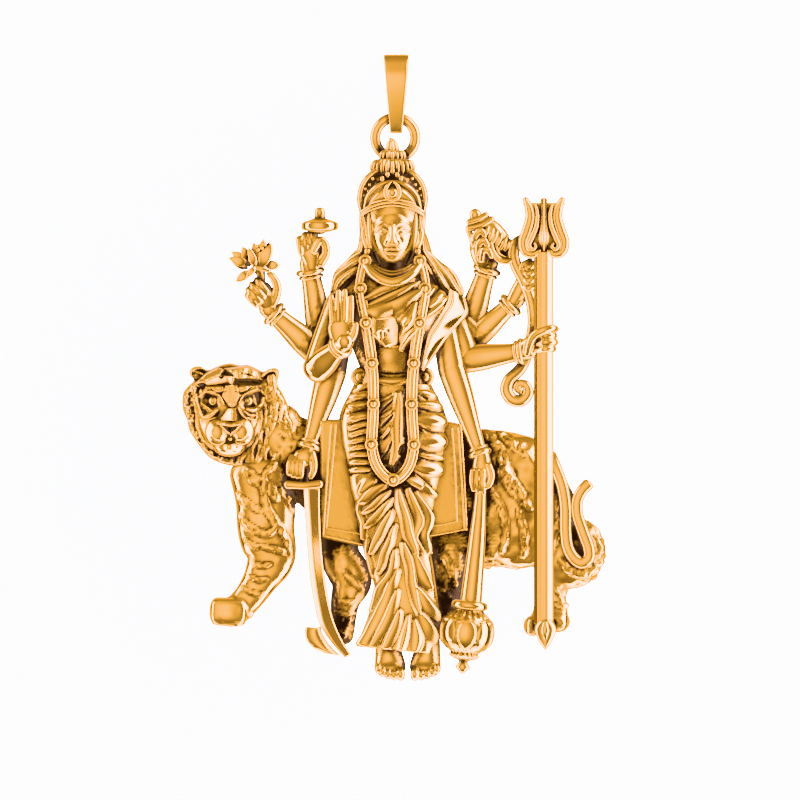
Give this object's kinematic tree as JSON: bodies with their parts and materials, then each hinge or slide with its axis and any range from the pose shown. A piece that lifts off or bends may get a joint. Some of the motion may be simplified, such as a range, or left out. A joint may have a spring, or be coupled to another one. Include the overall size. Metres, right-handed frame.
{
  "type": "durga pendant",
  "caption": "Cast gold pendant of a many-armed goddess standing before a tiger, hung from a jump ring and a tapered bail.",
  "frame": {"origin": "middle of the whole pendant in X and Y, on the surface that its flat back lies on", "axes": "+Z out of the face, +Y from the feet to the bail, +X towards the viewer's right, with the pendant lying on its back"},
  "size_m": [0.0422, 0.0628, 0.0092],
  "materials": {
    "casting_gold": "mirror-polished yellow gold, darker in the recesses",
    "ring_gold": "mirror-polished yellow gold wire",
    "bail_gold": "mirror-polished yellow gold strip"
  },
  "bodies": {
    "root": {"durga_casting": "casting_gold", "jump_ring": "ring_gold", "bail": "bail_gold"}
  },
  "joints": []
}
